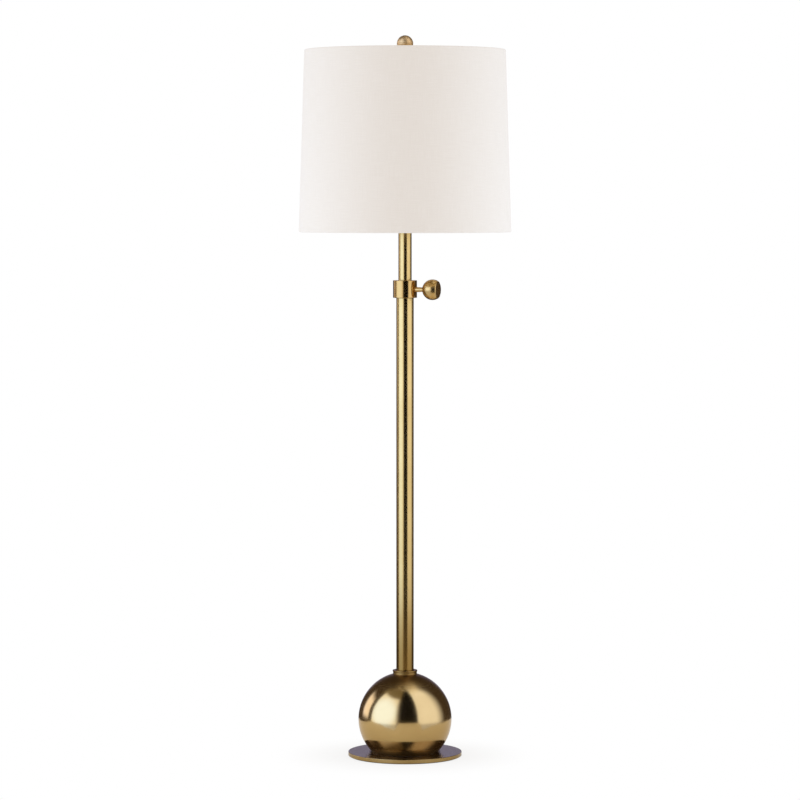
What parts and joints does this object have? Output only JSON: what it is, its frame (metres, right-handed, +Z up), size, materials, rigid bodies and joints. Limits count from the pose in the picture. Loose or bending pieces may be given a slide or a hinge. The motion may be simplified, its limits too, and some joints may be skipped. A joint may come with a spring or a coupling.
{
  "type": "telescopic floor lamp",
  "caption": "Floor lamp with a ball on a round plate, a sliding mast held by a thumbscrew, and a tapered drum shade on a harp.",
  "frame": {"origin": "on the floor under the mast's axis, at the underside of the felt", "axes": "+Z up along the mast; -Y towards the viewer of the picture, with the thumbscrew to the right (+X) and a little to the front; the cord bush faces +Y"},
  "size_m": [0.4058, 0.4058, 1.3811],
  "materials": {
    "aged_brass": "aged, polished to a soft mirror, lacquered",
    "mast_brass": "aged, satin along the tube, darker near the ball",
    "clamp_brass": "aged, satin, darker in the corners",
    "plate_brass": "aged dark, satin",
    "finial_brass": "aged, dull satin",
    "turned_brass": "satin",
    "holder_brass": "satin, pressed sheet",
    "steel": "zinc plated",
    "iron": "as cast, blackened",
    "felt": "pressed felt",
    "bush_plastic": "moulded",
    "slider_plastic": "moulded",
    "core_plastic": "moulded thermoset",
    "card": "insulating card",
    "shell_metal": "rolled thread",
    "bulb_glass": "frosted",
    "frame_metal": "brass-coloured wire",
    "shade_liner": "white styrene sheet",
    "shade_fabric": "plain woven linen, laminated"
  },
  "bodies": {
    "base": {"base_felt": "felt", "base_plate": "plate_brass", "base_washer": "steel", "base_nut": "steel", "stem_pipe": "steel", "ball_shell": "aged_brass", "ballast_weight": "iron", "cord_grommet": "bush_plastic", "check_ring": "aged_brass", "neck_lip": "aged_brass", "tube_coupling": "turned_brass", "lower_tube": "mast_brass", "guide_bushing": "slider_plastic", "clamp_collar": "clamp_brass"},
    "clamp_tip": {"clamp_pad": "slider_plastic"},
    "thumbscrew": {"clamp_screw": "clamp_brass", "clamp_knob": "clamp_brass"},
    "slider": {"slide_ring": "slider_plastic"},
    "upper": {"upper_tube": "mast_brass", "stop_ring": "steel", "end_bush": "bush_plastic", "tube_cap": "turned_brass", "socket_nipple": "steel", "harp_saddle": "turned_brass", "harp": "turned_brass", "harp_ferrules": "turned_brass", "harp_stud": "turned_brass", "socket_cap": "holder_brass", "socket_shell": "holder_brass", "socket_liner": "card", "socket_core": "core_plastic", "screw_shell": "shell_metal", "centre_contact": "turned_brass", "bulb_cap": "shell_metal", "bulb_contact": "core_plastic", "bulb_glass": "bulb_glass", "spider_washer": "frame_metal", "spider_arms": "frame_metal", "shade_top_ring": "frame_metal", "shade_bottom_ring": "frame_metal", "shade_liner": "shade_liner", "shade_fabric": "shade_fabric", "finial": "finial_brass"},
    "switch": {"switch_key": "core_plastic"}
  },
  "joints": [
    {"name": "mast_slide", "type": "slide", "parent": "base", "child": "slider", "axis": [0, 0, 1], "range_m": [-0.08, 0.28]},
    {"name": "mast_turn", "type": "hinge", "parent": "slider", "child": "upper", "pos_m": [0, 0, 0.5453], "axis": [0, 0, 1], "range_deg": [-175, 175]},
    {"name": "clamp_advance", "type": "slide", "parent": "base", "child": "clamp_tip", "axis": [0.9336, -0.3584, 0], "range_m": [0, 0.003]},
    {"name": "clamp_turn", "type": "hinge", "parent": "clamp_tip", "child": "thumbscrew", "pos_m": [0, 0, 0.8974], "axis": [0.9336, -0.3584, 0], "range_deg": [0, 720]},
    {"name": "switch_turn", "type": "hinge", "parent": "upper", "child": "switch", "pos_m": [0, -0.02, 1.1041], "axis": [0, -1, 0], "continuous": true}
  ],
  "couplings": [
    {"joint": "clamp_turn", "follows": "clamp_advance", "rad_per_m": 4188.8}
  ]
}
